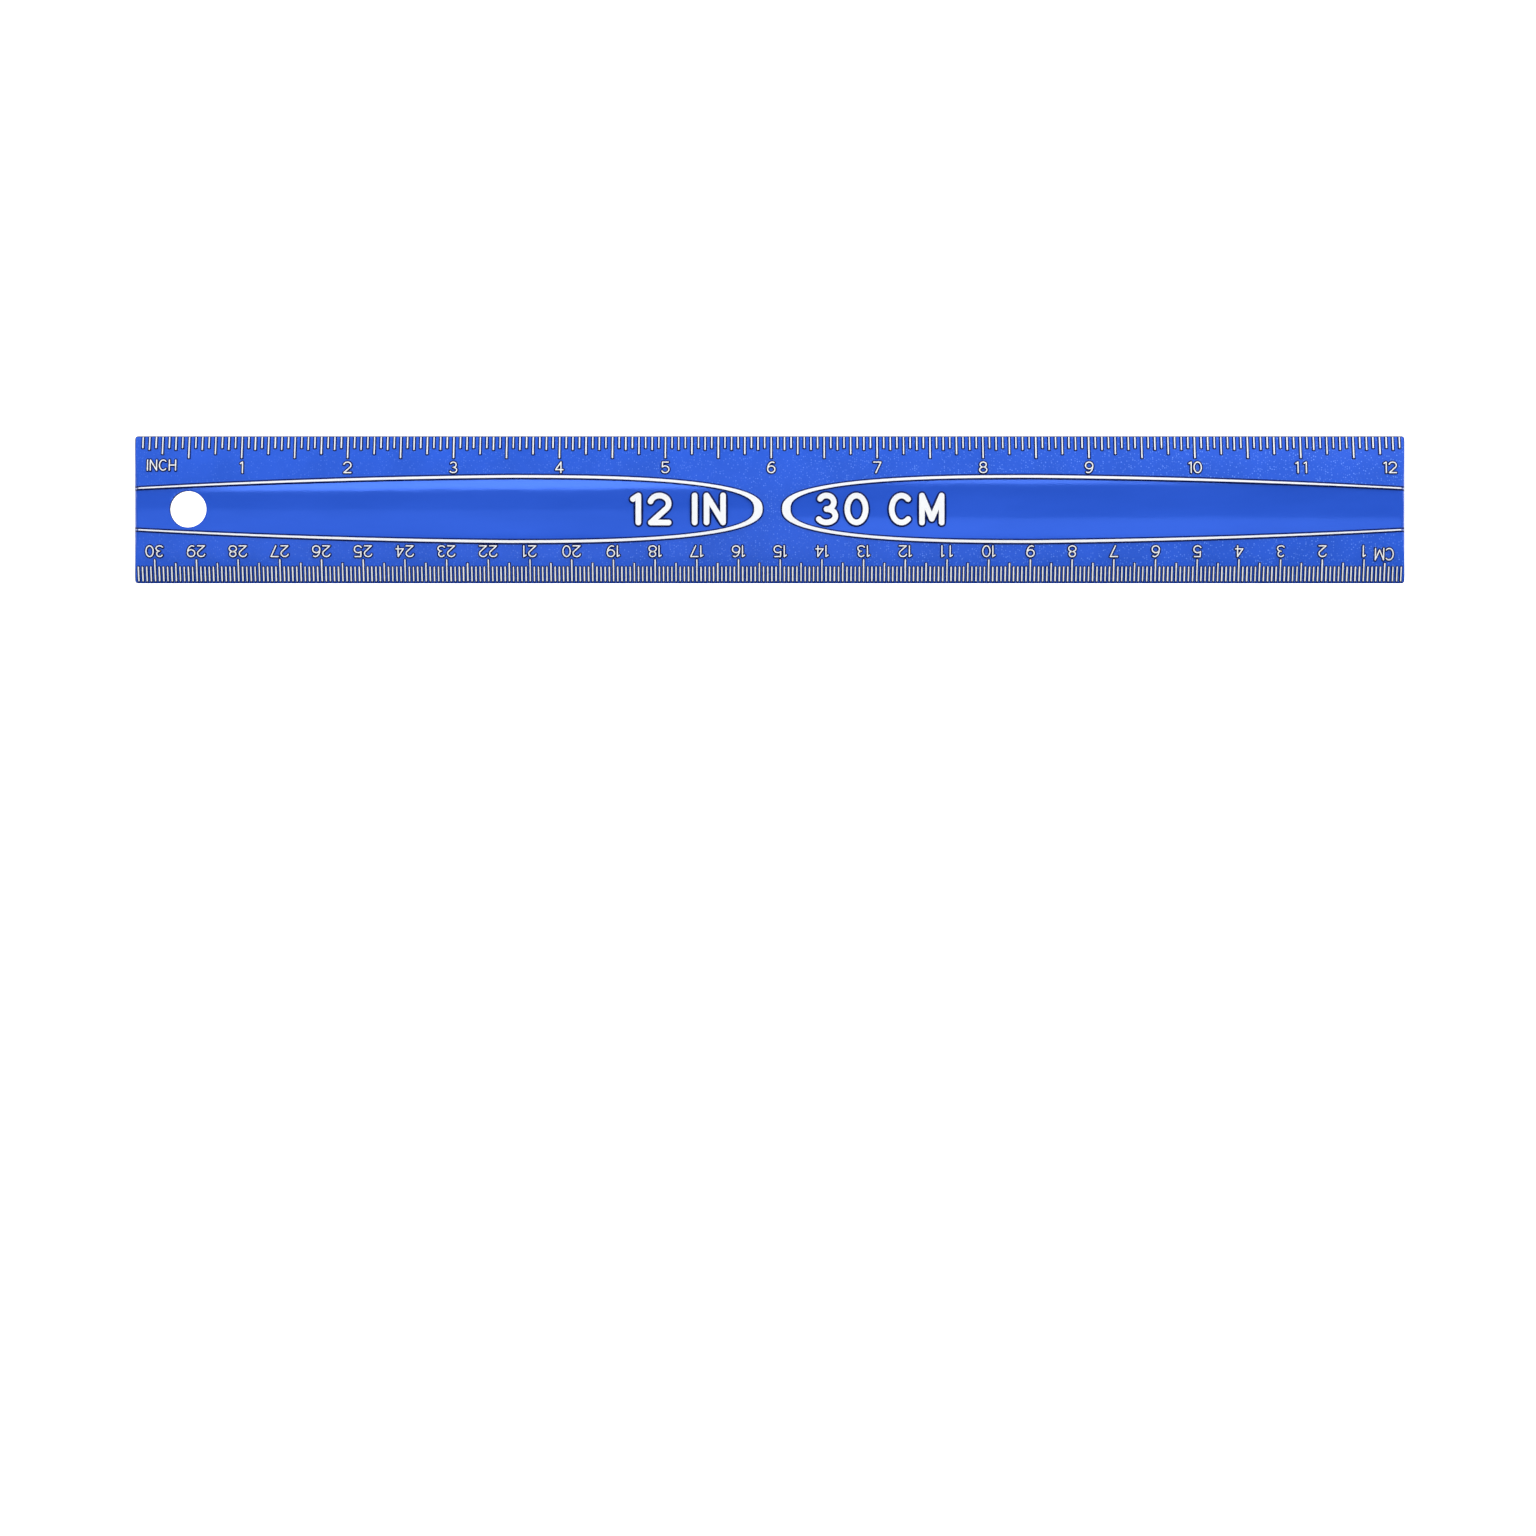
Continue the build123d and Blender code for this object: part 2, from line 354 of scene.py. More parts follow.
def panel_edge(along, length, inset_end, inset_side, inset_nose):
    """Half the width of a panel's outline at a distance from its open end, zero past the tip."""
    end_y = panel_end_half_width - inset_end
    side_y = panel_half_width - inset_side
    widest = length - nose_length
    if along < widest:
        swell = (swell_shares[0] * widest, end_y + swell_shares[1] * (side_y - end_y))
        return arc_height(along, (0, end_y), swell, (widest, side_y))
    fullness = (along - widest) / (nose_length - inset_nose)
    if fullness >= 1:
        return 0.0
    return side_y * (1 - fullness**nose_fullness) ** (1 / nose_fullness)


def rim_insets(extra):
    """Insets of the rim's inner edge at the end, the widest place and the nose."""
    return rim_end_width + extra, rim_width + extra, rim_nose_width + extra


# From the dish outwards: foot of the inner wall, inner edge, outer edge, foot of the outer wall
rim_outlines = (rim_insets(wall_run), rim_insets(0), (0, 0, 0), (-wall_run,) * 3)


def rim_lines(x):
    """Distance from the middle line of the rim's four lines."""
    along, length = panel_at(x)
    return [panel_edge(along, length, *insets) for insets in rim_outlines]


def middle_z(x):
    """Height on the ruler's middle line past the tip of a dish: wall, rim, wall, then crown."""
    along, length = panel_at(x)
    foot, inner, outer, outer_foot = [length - insets[2] for insets in rim_outlines]
    if along < inner:
        share = (along - foot) / (inner - foot)
        return floor_z(x, 0) + share * (rim_z(0) - floor_z(x, 0))
    if along < outer:
        return rim_z(0)
    share = min(1.0, (along - outer) / (outer_foot - outer))
    return rim_z(0) + share * (crown_z(0) - rim_z(0))


def rounded_end(x, z):
    """A height brought down to the rounded end, from the parting line up to the crest."""
    from_end = half_length - abs(x)
    chord = math.hypot(end_round_reach, full_height - edge_height)
    offset = math.sqrt(end_round_radius**2 - (chord / 2) ** 2) / chord
    centre_x = end_round_reach / 2 + offset * (full_height - edge_height)
    centre_z = (full_height + edge_height) / 2 - offset * end_round_reach
    if from_end > centre_x:
        return z
    limit = centre_z + math.sqrt(end_round_radius**2 - (centre_x - from_end) ** 2)
    # The two heights run smoothly into each other, but not at the parting line itself
    overlap = max(0.0, end_round_blend - abs(z - limit)) / end_round_blend
    return min(z, limit) - end_round_blend * overlap**2 / 4 * min(1.0, from_end / corner_radius)


def half_section(x):
    """The moulding's outline on its +Y side at a place X, from the crest round to the hollow."""
    foot, inner, outer, outer_foot = rim_lines(x)
    tip_z = middle_z(x)
    points = [(0, floor_z(x, 0) if foot else tip_z)]
    for y in spread(0, foot, dish_steps):
        points.append((y, floor_z(x, y) if foot else tip_z))
    for y in [inner] + spread(inner, outer, rim_steps):
        points.append((y, rim_z(y) - foil_thickness if outer else tip_z))
    points.append((outer_foot, crown_z(outer_foot) if outer_foot else tip_z))
    for y in spread(outer_foot, crown_half_width, crown_steps):
        points.append((y, crown_z(y)))
    from_end = half_length - abs(x)
    cut = drop(corner_radius, corner_radius - from_end) if from_end < corner_radius else 0
    side_y = half_width - cut
    for y in spread(crown_half_width, side_y - edge_fillet, margin_steps):
        points.append((y, crown_z(y)))
    for turn in fillet_turns[1:]:
        round_y = side_y - edge_fillet * (1 - math.sin(math.radians(turn)))
        round_z = edge_height - edge_fillet * (1 - math.cos(math.radians(turn)))
        points.append((round_y, round_z))
    points = [(y, rounded_end(x, z)) for y, z in points]
    for turn in fillet_turns:
        round_y = side_y - edge_fillet * (1 - math.cos(math.radians(turn)))
        points.append((round_y, edge_fillet * (1 - math.sin(math.radians(turn)))))
    ceiling = points[0][1] - thinnest_end
    arch = [(hollow_half_width, 0), (shoulder_half_width, hollow_shoulder_height)]
    for y in spread(shoulder_half_width, 0, hollow_steps):
        arch.append((y, hollow_height - drop(hollow_radius, y)))
    return points + [(y, min(z, ceiling)) for y, z in arch]


# Finish of each strip between two neighbouring points of a half section, from the crest down
plain, dish, painted_shade_finish = 0, 1, 2
side_strips = len(fillet_turns) - 1
under_strips = len(fillet_turns) + 2 + hollow_steps
# The rim walls and the rounded outer top edge take the painted shade finish, as dark lines of shade
strip_finishes = [dish] * dish_steps + [painted_shade_finish] + [plain] * rim_steps + [painted_shade_finish]
strip_finishes += [plain] * (crown_steps + margin_steps) + [painted_shade_finish] * side_strips
strip_finishes += [plain] * under_strips


def special_places():
    """Stations that the shape needs: round each tip of the rims, and down each rounded end."""
    places = []
    for length, side in ((left_panel, 1), (right_panel, -1)):
        for insets in rim_outlines:
            for share in tip_shares:
                fullness = (1 - share**nose_fullness) ** (1 / nose_fullness)
                along = length - nose_length + (nose_length - insets[2]) * fullness
                places.append(side * (along - half_length))
    for distance in end_distances:
        places += [distance - half_length, half_length - distance]
    return places


def stations_between(low, high):
    """Places along the ruler at which a piece between two planes has points."""
    places = [low, high] + [place for place in special_places() if low < place < high]
    count = math.ceil((high - low) / station_gap)
    for place in spread(low, high, count):
        if min(abs(place - other) for other in places) > nearest_station:
            places.append(place)
    return sorted(set(places))


def draped_grid(rows, columns, point_at):
    """A sheet of quads, each of its points placed by its row and column."""
    bm = bmesh.new()
    bmesh.ops.create_grid(bm, x_segments=rows - 1, y_segments=columns - 1, size=1)
    cells = bm.faces.layers.int.new("column")
    for face in bm.faces:
        face[cells] = math.floor((face.calc_center_median().y + 1) / 2 * (columns - 1))
    for vert in bm.verts:
        row = round((vert.co.x + 1) / 2 * (rows - 1))
        column = round((vert.co.y + 1) / 2 * (columns - 1))
        vert.co = point_at(row, column)
    return bm


def append(bm, other):
    """Adds the geometry of another shape, which is then freed."""
    mesh = bpy.data.meshes.new("part")
    other.to_mesh(mesh)
    other.free()
    bm.from_mesh(mesh)
    bpy.data.meshes.remove(mesh)


def moulding_shape(low, high):
    """The blue moulding between two planes across the ruler, closed by a cap at each."""
    stations = stations_between(low, high)
    sections = []
    for x in stations:
        half = half_section(x)
        far = [(-y, z) for y, z in reversed(half[1:-1])]
        sections.append([(x, y, z) for y, z in half + far + half[:1]])
    bm = draped_grid(len(stations), len(sections[0]), lambda row, column: sections[row][column])
    finishes = strip_finishes + strip_finishes[::-1]
    cells = bm.faces.layers.int["column"]
    for face in bm.faces:
        middle = face.calc_center_median()
        # A strip along each end, above the parting line, takes the painted shade as a dark line
        at_end = half_length - abs(middle.x) < end_line_width and middle.z > edge_height
        face.material_index = painted_shade_finish if at_end else finishes[face[cells]]
    bmesh.ops.remove_doubles(bm, verts=bm.verts, dist=merge_distance)
    open_edges = [edge for edge in bm.edges if edge.is_boundary]
    bmesh.ops.holes_fill(bm, edges=open_edges, sides=0)
    bmesh.ops.recalc_face_normals(bm, faces=bm.faces)
    return bm


def thicken_down(bm, depth):
    """Turns a sheet into a closed film by adding its underside and its edges."""
    below = bmesh.ops.extrude_face_region(bm, geom=list(bm.faces), use_keep_orig=True)
    verts = [item for item in below["geom"] if isinstance(item, bmesh.types.BMVert)]
    bmesh.ops.translate(bm, verts=verts, vec=(0, 0, -depth))
    bmesh.ops.recalc_face_normals(bm, faces=bm.faces)


def rim_point(stations, side):
    """Where the rim foil's points lie: across from the rim's inner to its outer edge."""
    def place(row, column):
        x = stations[row]
        inner, outer = rim_lines(x)[1:3]
        if inner:
            inner += rim_foil_margin
        outer = max(inner, outer - rim_foil_margin)
        y = inner + (outer - inner) * column / rim_steps
        return x, side * y, rounded_end(x, rim_z(y))
    return place


def rim_foil_shape(low, high):
    """The foil on the rims between two planes."""
    open_end = half_length - rim_foil_inset
    low, high = max(low, -open_end), min(high, open_end)
    gap_low, gap_high = left_panel - half_length, half_length - right_panel
    bm = bmesh.new()
    for first, last in ((low, min(high, gap_low)), (max(low, gap_high), high)):
        if last - first < nearest_station:
            continue
        stations = stations_between(first, last)
        for side in (1, -1):
            append(bm, draped_grid(len(stations), rim_steps + 1, rim_point(stations, side)))
    bmesh.ops.remove_doubles(bm, verts=bm.verts, dist=merge_distance)
    thicken_down(bm, foil_thickness + foil_step)
    return bm


def round_bar(length, foot_width, top_width, low, high):
    """A bar with rounded ends and sloping sides that runs along Y through the origin."""
    bm = bmesh.new()
    # The flat sides of the many-sided cone lie at half the width, so its corners lie further out
    flat = math.cos(math.pi / rib_sides)
    turned = Matrix.Rotation(math.pi / rib_sides, 4, "Z")
    bmesh.ops.create_cone(bm, cap_ends=True, segments=rib_sides, radius1=foot_width / 2 / flat,
                          radius2=top_width / 2 / flat, depth=high - low, matrix=turned)
    for vert in bm.verts:
        width = foot_width if vert.co.z < 0 else top_width
        end_y = (length - top_width + width * (1 - rib_end_share)) / 2
        vert.co.y = vert.co.y * rib_end_share + math.copysign(end_y, vert.co.y)
        vert.co.z += (high + low) / 2
    return bm


def mark_layers(width, foot_run, rise=0.0):
    """Foot width, top width, bottom and top of a mark's blue body and of its foil."""
    body_top = mark_height - foil_thickness
    body = (width + 2 * foot_run, width, -mark_sink, body_top + rise)
    foil = (width - foil_step, width - foil_thickness, body_top - foil_step + rise,
            mark_height + rise)
    return body, foil


def piece_number(x):
    """Which of the pieces between the middles of the stretches a place lies in."""
    return sum(1 for plane in planes[1:-1] if x >= plane)


def add_mark(shapes, x, shape, at, surface=crown_at):
    """Moves a flat shape to its place, lays it on the surface, and adds it to the piece at X."""
    bmesh.ops.transform(shape, matrix=at, verts=shape.verts)
    edge_y = half_width - mark_edge_room
    for vert in shape.verts:
        vert.co.y = max(-edge_y, min(edge_y, vert.co.y))
        vert.co.z += surface(vert.co.x, vert.co.y)
    append(shapes[piece_number(x)], shape)


def ribs_of(step, lengths, zero_x, direction, count):
    """Place and length of each rib of one scale."""
    for index in range(1, count + 1):
        parts = max(part for part in lengths if index % part == 0)
        yield zero_x + direction * index * step, lengths[parts]


def scale_ribs():
    """Place, length, inset, foot and side of every graduation rib of both scales."""
    step = inch / max(inch_ribs)
    count = math.floor((2 * half_length - inch_zero_inset - rib_width) / step)
    for x, length in ribs_of(step, inch_ribs, inch_zero_inset - half_length, 1, count):
        yield x, length, inch_rib_inset, mark_foot_run, 1
    count = math.floor((2 * half_length - rib_width) / millimetre)
    for x, length in ribs_of(millimetre, centimetre_ribs, half_length, -1, count):
        yield x, length, centimetre_rib_inset, centimetre_foot_run, -1


def add_ribs():
    """Every graduation rib: a blue body that slopes out at its foot, and its strip of foil."""
    for x, length, inset, foot_run, side in scale_ribs():
        uneven = rng.uniform(-rib_unevenness, rib_unevenness)
        layers = mark_layers(rib_width + uneven, foot_run)
        at = Matrix.Translation((x, side * (half_width - inset - length / 2), 0))
        for shapes, layer in zip((mark_shapes, foil_shapes), layers):
            add_mark(shapes, x, round_bar(length - abs(uneven), *layer), at)


# Glyphs are drawn as strokes in shares of the cap height. The middle line of a stroke runs
# from 0 to cap_share up, and in most glyphs from 0 to glyph_width across.
glyph_width = 0.58
cap_share = 0.85


def arc(middle_x, middle_y, radius_x, radius_y, start, end):
    """Points of an upright oval's arc from one angle to another, in degrees."""
    steps = max(2, round(abs(end - start) / arc_step))
    turns = [math.radians(start + (end - start) * step / steps) for step in range(steps + 1)]
    return [(middle_x + radius_x * math.cos(t), middle_y + radius_y * math.sin(t)) for t in turns]


def glyph_table():
    """Width and strokes of each numeral and capital letter."""
    top, wide, half, mid = cap_share, glyph_width, glyph_width / 2, cap_share / 2
    two_end = arc(half, top - 0.25, half, 0.25, 165, -35)
    six_stem = arc(0.37, 0.27, 0.37, 0.58, 180, 68)
    nine_stem = [(wide - x, top - y) for x, y in six_stem]
    return {
        "0": (wide, [arc(half, mid, half, mid, 0, 360)]),
        "1": (0.17, [[(0.17, 0), (0.17, top)], [(0.17, top), (0, top - 0.11)]]),
        "2": (wide, [two_end + [(0.02, 0)], [(0.02, 0), (wide, 0)]]),
        "3": (0.54, [arc(0.26, 0.635, 0.23, 0.215, 150, -90),
                     arc(0.26, 0.21, 0.28, 0.21, 90, -150)]),
        "4": (wide, [[(0.42, 0), (0.42, top)], [(0.42, top), (0, 0.24)], [(0, 0.24), (wide, 0.24)]]),
        "5": (wide, [[(0.53, top), (0.07, top)], [(0.07, top), (0.05, 0.46)],
                     [(0.05, 0.46)] + arc(0.28, 0.27, 0.3, 0.27, 115, -150)]),
        "6": (wide, [arc(half, 0.27, half, 0.27, 0, 360), six_stem]),
        "7": (wide, [[(0, top), (wide, top)], [(wide, top), (0.18, 0)]]),
        "8": (wide, [arc(half, 0.65, 0.245, 0.2, 0, 360), arc(half, 0.225, half, 0.225, 0, 360)]),
        "9": (wide, [arc(half, top - 0.27, half, 0.27, 0, 360), nine_stem]),
        "C": (wide, [arc(0.31, mid, 0.31, mid, 48, 312)]),
        "H": (0.52, [[(0, 0), (0, top)], [(0.52, 0), (0.52, top)], [(0, mid), (0.52, mid)]]),
        "I": (0, [[(0, 0), (0, top)]]),
        "M": (0.62, [[(0, 0), (0, top)], [(0, top), (0.31, 0.12)],
                     [(0.31, 0.12), (0.62, top)], [(0.62, top), (0.62, 0)]]),
        "N": (0.52, [[(0, 0), (0, top)], [(0, top), (0.52, 0)], [(0.52, 0), (0.52, top)]]),
    }


glyphs = glyph_table()


def bar_profile(foot_width, top_width, low, high):
    """A closed outline across a stroke, as a curve object that another curve sweeps."""
    outline = bpy.data.curves.new("stroke_profile", "CURVE")
    outline.dimensions = "2D"
    corners = [(side * foot_width / 2, low) for side in (-1, 1)]
    corners += [(side * top_width / 2, high) for side in (1, -1)]
    line = outline.splines.new("POLY")
    line.points.add(len(corners) - 1)
    for point, (y, z) in zip(line.points, corners):
        point.co = (y, z, 0, 1)
    line.use_cyclic_u = True
    return bpy.data.objects.new("stroke_profile", outline)


def swept(strokes, layer):
    """Strokes, given as lists of places, swept with a sloping-sided profile."""
    profile = bar_profile(*layer)
    curve = bpy.data.curves.new("strokes", "CURVE")
    curve.dimensions = "3D"
    curve.twist_mode = "Z_UP"
    curve.bevel_mode = "OBJECT"
    curve.bevel_object = profile
    curve.use_fill_caps = True
    for stroke in strokes:
        closed = math.dist(stroke[0], stroke[-1]) < merge_distance
        points = stroke[:-1] if closed else stroke
        line = curve.splines.new("POLY")
        line.points.add(len(points) - 1)
        for point, (x, y) in zip(line.points, points):
            point.co = (x, y, 0, 1)
        line.use_cyclic_u = closed
    holder = bpy.data.objects.new("strokes", curve)
    bpy.context.scene.collection.objects.link(holder)
    solid = holder.evaluated_get(bpy.context.evaluated_depsgraph_get())
    mesh = bpy.data.meshes.new_from_object(solid)
    bm = bmesh.new()
    bm.from_mesh(mesh)
    for item in (holder, profile):
        bpy.data.objects.remove(item)
    bpy.data.meshes.remove(mesh)
    return bm


def glyph_shape(glyph, height, layer):
    """A raised numeral or letter with its lower left corner at the origin."""
    foot_width, top_width, low, high = layer
    strokes = [[(x * height, y * height) for x, y in stroke] for stroke in glyphs[glyph][1]]
    bm = swept(strokes, layer)
    bmesh.ops.remove_doubles(bm, verts=bm.verts, dist=merge_distance)
    ends = {place for stroke in strokes for place in (stroke[0], stroke[-1])
            if math.dist(stroke[0], stroke[-1]) > merge_distance}
    for number, (x, y) in enumerate(sorted(ends)):
        lower = foil_step * (1 + number / len(ends))
        at = Matrix.Translation((x, y, (low + high) / 2 - lower))
        bmesh.ops.create_cone(bm, cap_ends=True, segments=disc_sides, radius1=foot_width / 2,
                              radius2=top_width / 2, depth=high - low, matrix=at)
    bmesh.ops.recalc_face_normals(bm, faces=bm.faces)
    return bm


def text_layout(text, height, stroke, gap, space):
    """Each glyph of a line of text with its left edge, and the line's whole width."""
    places, x, before = [], 0.0, ""
    for glyph in text:
        if glyph == " ":
            x += space
            continue
        if before == "1" and glyph == "1":
            x += paired_ones_gap - gap
        width = glyphs[glyph][0] * height + stroke
        places.append((glyph, x))
        x += width + gap
        before = glyph
    return places, x - gap


def add_text(text, x, y, height, stroke, gap, space=0.0, turned=False, surface=crown_at, rise=0.0,
             foot_run=mark_foot_run):
    """A raised line of text centred on a place, each glyph in the piece that carries it."""
    places, width = text_layout(text, height, stroke, gap, space)
    turn = Matrix.Rotation(math.pi if turned else 0, 4, "Z")
    layers = mark_layers(stroke, foot_run, rise)
    for glyph, left in places:
        across = glyphs[glyph][0] * height
        origin = turn @ Vector((left + stroke / 2 - width / 2, -cap_share * height / 2, 0))
        middle_x = x + (turn @ Vector((left + (stroke + across) / 2 - width / 2, 0, 0))).x
        at = Matrix.Translation(Vector((x, y, 0)) + origin) @ turn
        for shapes, layer in zip((mark_shapes, foil_shapes), layers):
            add_mark(shapes, middle_x, glyph_shape(glyph, height, layer), at, surface)


def add_numerals():
    """Numerals of both scales, the unit words and a plain size mark in each panel."""
    numeral = (numeral_height, numeral_stroke, numeral_gap)
    for count in range(1, math.floor(2 * half_length / inch) + 1):
        x = inch_zero_inset - half_length + count * inch
        add_text(str(count), min(x, last_inch_numeral_x), inch_numeral_y, *numeral)
    for count in range(1, math.floor(2 * half_length / centimetre) + 1):
        x = half_length - count * centimetre
        add_text(str(count), x, centimetre_numeral_y, *numeral, turned=True)
    inch_word = (inch_word_height, numeral_stroke, numeral_gap)
    add_text("INCH", inch_word_x, inch_word_y, *inch_word)
    centimetre_word = (centimetre_word_height, numeral_stroke, centimetre_word_gap)
    add_text("CM", centimetre_word_x, centimetre_word_y, *centimetre_word, turned=True)
    size = (size_height, size_stroke, size_gap, size_space)
    for text, x in (("12 IN", left_size_x), ("30 CM", right_size_x)):
        add_text(text, x, 0, *size, surface=floor_z, rise=size_rise, foot_run=size_foot_run)


def bare_object(name, bm):
    """An object that is in the scene only while its shape is worked on."""
    mesh = bpy.data.meshes.new(name)
    bm.to_mesh(mesh)
    bm.free()
    # One empty place for each finish, so that the faces keep theirs
    for _ in (plain, dish, painted_shade_finish):
        mesh.materials.append(None)
    piece = bpy.data.objects.new(name, mesh)
    bpy.context.scene.collection.objects.link(piece)
    return piece


def from_hole_edge(place):
    """How far a place lies from the wall of the hang hole, seen from above."""
    return abs(math.hypot(place.x - hole_x, place.y) - hole_radius)


def hang_hole(bm):
    """Cuts the hang hole through the moulding, with a small rounded lip at both its edges."""
    cutter = bmesh.new()
    at = Matrix.Translation((hole_x, 0, full_height / 2))
    bmesh.ops.create_cone(cutter, cap_ends=True, segments=hole_sides, radius1=hole_radius,
                          radius2=hole_radius, depth=hole_cut_depth, matrix=at)
    stock = bare_object("hole_stock", bm)
    tool = bare_object("hole_cutter", cutter)
    cut = stock.modifiers.new("hole", "BOOLEAN")
    cut.operation = "DIFFERENCE"
    cut.solver = "EXACT"
    cut.object = tool
    solid = stock.evaluated_get(bpy.context.evaluated_depsgraph_get())
    holed = bmesh.new()
    holed.from_mesh(bpy.data.meshes.new_from_object(solid))
    for item in (stock, tool):
        bpy.data.objects.remove(item)
    # The hole's upright wall near its edges takes the painted shade, a dark ring
    for face in holed.faces:
        upright = abs(face.normal.z) < hole_wall_lean
        if upright and from_hole_edge(face.calc_center_median()) < hole_lip:
            face.material_index = painted_shade_finish
    lips = [edge for edge in holed.edges if edge.calc_face_angle(0) > hole_edge_turn
            and all(from_hole_edge(vert.co) < hole_edge_room for vert in edge.verts)]
    bmesh.ops.bevel(holed, geom=lips, offset=hole_lip, segments=hole_lip_steps, profile=0.5,
                    affect="EDGES", material=-1)
    return holed


def node_material(name):
    """An empty material with a surface shader, and its node tree."""
    material = bpy.data.materials.new(name)
    material.use_nodes = True
    tree = material.node_tree
    shader = next(node for node in tree.nodes if node.type == "BSDF_PRINCIPLED")
    return material, tree, shader


def add_node(tree, kind, inputs, **values):
    """A node with its settings, and with its named or numbered inputs set or linked."""
    node = tree.nodes.new(kind)
    for name, value in values.items():
        setattr(node, name, value)
    for name, value in inputs.items():
        if isinstance(value, bpy.types.NodeSocket):
            tree.links.new(value, node.inputs[name])
        else:
            node.inputs[name].default_value = value
    return node


def ranged(tree, value, span, new_span=rising):
    """A value carried over from one range to another, held at the new range's ends."""
    inputs = {"Value": value, "From Min": span[0], "From Max": span[1],
              "To Min": new_span[0], "To Max": new_span[1]}
    return add_node(tree, "ShaderNodeMapRange", inputs).outputs["Result"]


def noise(tree, place, waves, detail, harshness=soft_harshness):
    """Strength of a noise of a given scale, in waves per metre."""
    inputs = {"Vector": place, "Scale": waves, "Detail": detail, "Roughness": harshness}
    return add_node(tree, "ShaderNodeTexNoise", inputs).outputs["Fac"]


def maths(tree, operation, first, second):
    """Two values brought together by an operation such as MULTIPLY."""
    return add_node(tree, "ShaderNodeMath", {0: first, 1: second}, operation=operation).outputs[0]


# Sockets of the mixing node that hold its two colours and the colour that it gives
mix_first, mix_second, mix_result = 6, 7, 2


def mixed(tree, share, first, second):
    """One colour carried over into another, the first of them a plain one or a pattern's."""
    first = first if isinstance(first, bpy.types.NodeSocket) else (*first, 1)
    inputs = {"Factor": share, mix_first: first, mix_second: (*second, 1)}
    return add_node(tree, "ShaderNodeMix", inputs, data_type="RGBA").outputs[mix_result]


def bumped(tree, height, distance, normal=None):
    """A normal that a pattern's height turns, its relief given in metres."""
    inputs = {"Height": height, "Distance": distance, "Strength": 1.0}
    if normal:
        inputs["Normal"] = normal
    return add_node(tree, "ShaderNodeBump", inputs).outputs["Normal"]


def at_rest(tree):
    """The place of a surface point on the unbent ruler, so that a pattern bends with it."""
    return add_node(tree, "ShaderNodeAttribute", {}, attribute_name="rest").outputs["Vector"]


def set_finish(tree, shader, colour, grain, roughness, normal, gloss):
    """A surface's colour, the roughness that follows its grain, its relief and its gloss."""
    tree.links.new(colour, shader.inputs["Base Color"])
    tree.links.new(ranged(tree, grain, grain_span, roughness), shader.inputs["Roughness"])
    tree.links.new(normal, shader.inputs["Normal"])
    shader.inputs["Specular IOR Level"].default_value = gloss


def matte_blue():
    """Spark-eroded face of the margins: fine grain, a little mottle, and pale specks of painted glint."""
    material, tree, shader = node_material("matte_blue_vinyl")
    place = at_rest(tree)
    mottle = ranged(tree, noise(tree, place, mottle_waves, cloud_detail), cloud_span)
    dots = add_node(tree, "ShaderNodeTexVoronoi", {"Vector": place, "Scale": speck_cells})
    spotted = ranged(tree, dots.outputs["Distance"], speck_reach, falling)
    shade = add_node(tree, "ShaderNodeSeparateColor", {"Color": dots.outputs["Color"]})
    chosen = ranged(tree, shade.outputs["Red"], speck_choice)
    along = add_node(tree, "ShaderNodeSeparateXYZ", {"Vector": place}).outputs["X"]
    brightness = maths(tree, "MULTIPLY", chosen, ranged(tree, along, glint_fade_x, glint_fade))
    # Painted glints: pale specks that grow stronger along the ruler
    glint_specks = maths(tree, "MULTIPLY", spotted, brightness)
    base = mixed(tree, mottle, margin_blue, margin_blue_light)
    colour = mixed(tree, glint_specks, base, glint_speck_blue)
    grain = noise(tree, place, margin_grain_waves, fine_detail)
    normal = bumped(tree, grain, margin_relief)
    set_finish(tree, shader, colour, grain, margin_roughness, normal, margin_gloss)
    return material


def polished_blue():
    """Smoother floor of the scooped panels, with faint flow marks along the ruler."""
    material, tree, shader = node_material("polished_blue_vinyl")
    place = at_rest(tree)
    stretched = add_node(tree, "ShaderNodeMapping", {"Vector": place, "Scale": flow_stretch})
    flow = noise(tree, stretched.outputs["Vector"], flow_waves, cloud_detail)
    colour = mixed(tree, ranged(tree, flow, cloud_span), dish_blue, dish_blue_light)
    grain = noise(tree, place, dish_grain_waves, fine_detail)
    normal = bumped(tree, grain, dish_relief, bumped(tree, flow, flow_relief))
    set_finish(tree, shader, colour, grain, dish_roughness, normal, dish_gloss)
    shader.inputs["Specular Tint"].default_value = (*dish_gloss_tint, 1)
    return material


def side_shade_blue():
    """Painted shade: a deep blue on the steep sides of the marks and walls, the outer top edges, the ends
    and the hole's lip.
    """
    material, tree, shader = node_material("painted_shade_blue_vinyl")
    grain = noise(tree, at_rest(tree), side_grain_waves, fine_detail)
    colour = mixed(tree, ranged(tree, grain, side_span), painted_shade_blue, painted_shade_blue_light)
    normal = bumped(tree, grain, side_relief)
    set_finish(tree, shader, colour, grain, side_roughness, normal, side_gloss)
    return material


def stamped_foil():
    """White hot-stamped foil: smooth, slightly cool, thin and worn in small spots."""
    material, tree, shader = node_material("white_stamped_foil")
    place = at_rest(tree)
    wear = ranged(tree, noise(tree, place, wear_waves, cloud_detail, wear_harshness), wear_span)
    colour = mixed(tree, wear, foil_white, foil_worn)
    film = noise(tree, place, film_waves, fine_detail)
    normal = bumped(tree, film, film_relief)
    set_finish(tree, shader, colour, film, foil_roughness, normal, foil_gloss)
    return material


